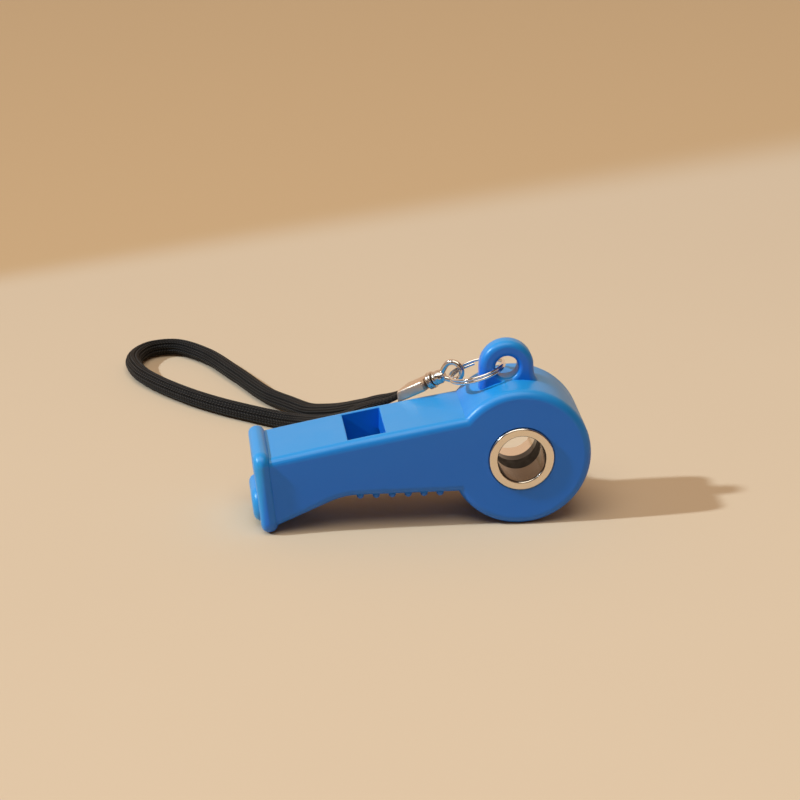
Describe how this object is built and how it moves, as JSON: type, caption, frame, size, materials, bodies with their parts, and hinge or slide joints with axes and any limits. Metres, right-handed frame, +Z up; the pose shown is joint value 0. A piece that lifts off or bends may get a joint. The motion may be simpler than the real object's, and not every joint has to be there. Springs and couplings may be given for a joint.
{
  "type": "dog whistle",
  "caption": "Moulded dog whistle with a round drum, open window, metal-lined bore, lug with split ring, swivel and looped braided wrist cord.",
  "frame": {"origin": "middle of the whistle body's length and thickness, on the surface it stands on", "axes": "-X is the mouthpiece and +X the drum; -Y is the side shown in the picture and y = 0 the mould seam; +Z is up, through the lug"},
  "size_m": [0.0769, 0.0932, 0.0308],
  "materials": {
    "body_blue": "satin moulded",
    "eyelet_nickel": "polished nickel",
    "sleeve_black": "matte",
    "ring_chrome": "polished",
    "swivel_chrome": "polished",
    "clamp_nickel": "nickel sheet",
    "cord_black": "braided"
  },
  "bodies": {
    "whistle_body": {"body_shell_near": "body_blue", "body_shell_far": "body_blue", "eyelet_near": "eyelet_nickel", "eyelet_far": "eyelet_nickel", "bore_sleeve": "sleeve_black"},
    "ring": {"split_ring": "ring_chrome"},
    "swivel": {"swivel_eye": "swivel_chrome", "swivel_collar": "swivel_chrome", "swivel_pin": "swivel_chrome"},
    "cord_end": {"cord_clamp": "clamp_nickel", "wrist_cord": "cord_black"}
  },
  "joints": [
    {"name": "ring_swing", "type": "hinge", "parent": "whistle_body", "child": "ring", "pos_m": [0.01485, 0, 0.02615], "axis": [0, 1, 0], "range_deg": [0, 180], "deforming": ["wrist_cord"]},
    {"name": "eye_swing", "type": "hinge", "parent": "ring", "child": "swivel", "pos_m": [0.00656, 0.0055, 0.02331], "axis": [0.5045, 0.8634, 0], "range_deg": [0, 70], "deforming": ["wrist_cord"]},
    {"name": "swivel_spin", "type": "hinge", "parent": "swivel", "child": "cord_end", "pos_m": [0.00656, 0.0055, 0.02331], "axis": [-0.7477, 0.4369, -0.5], "range_deg": [0, 60], "deforming": ["wrist_cord"]}
  ]
}
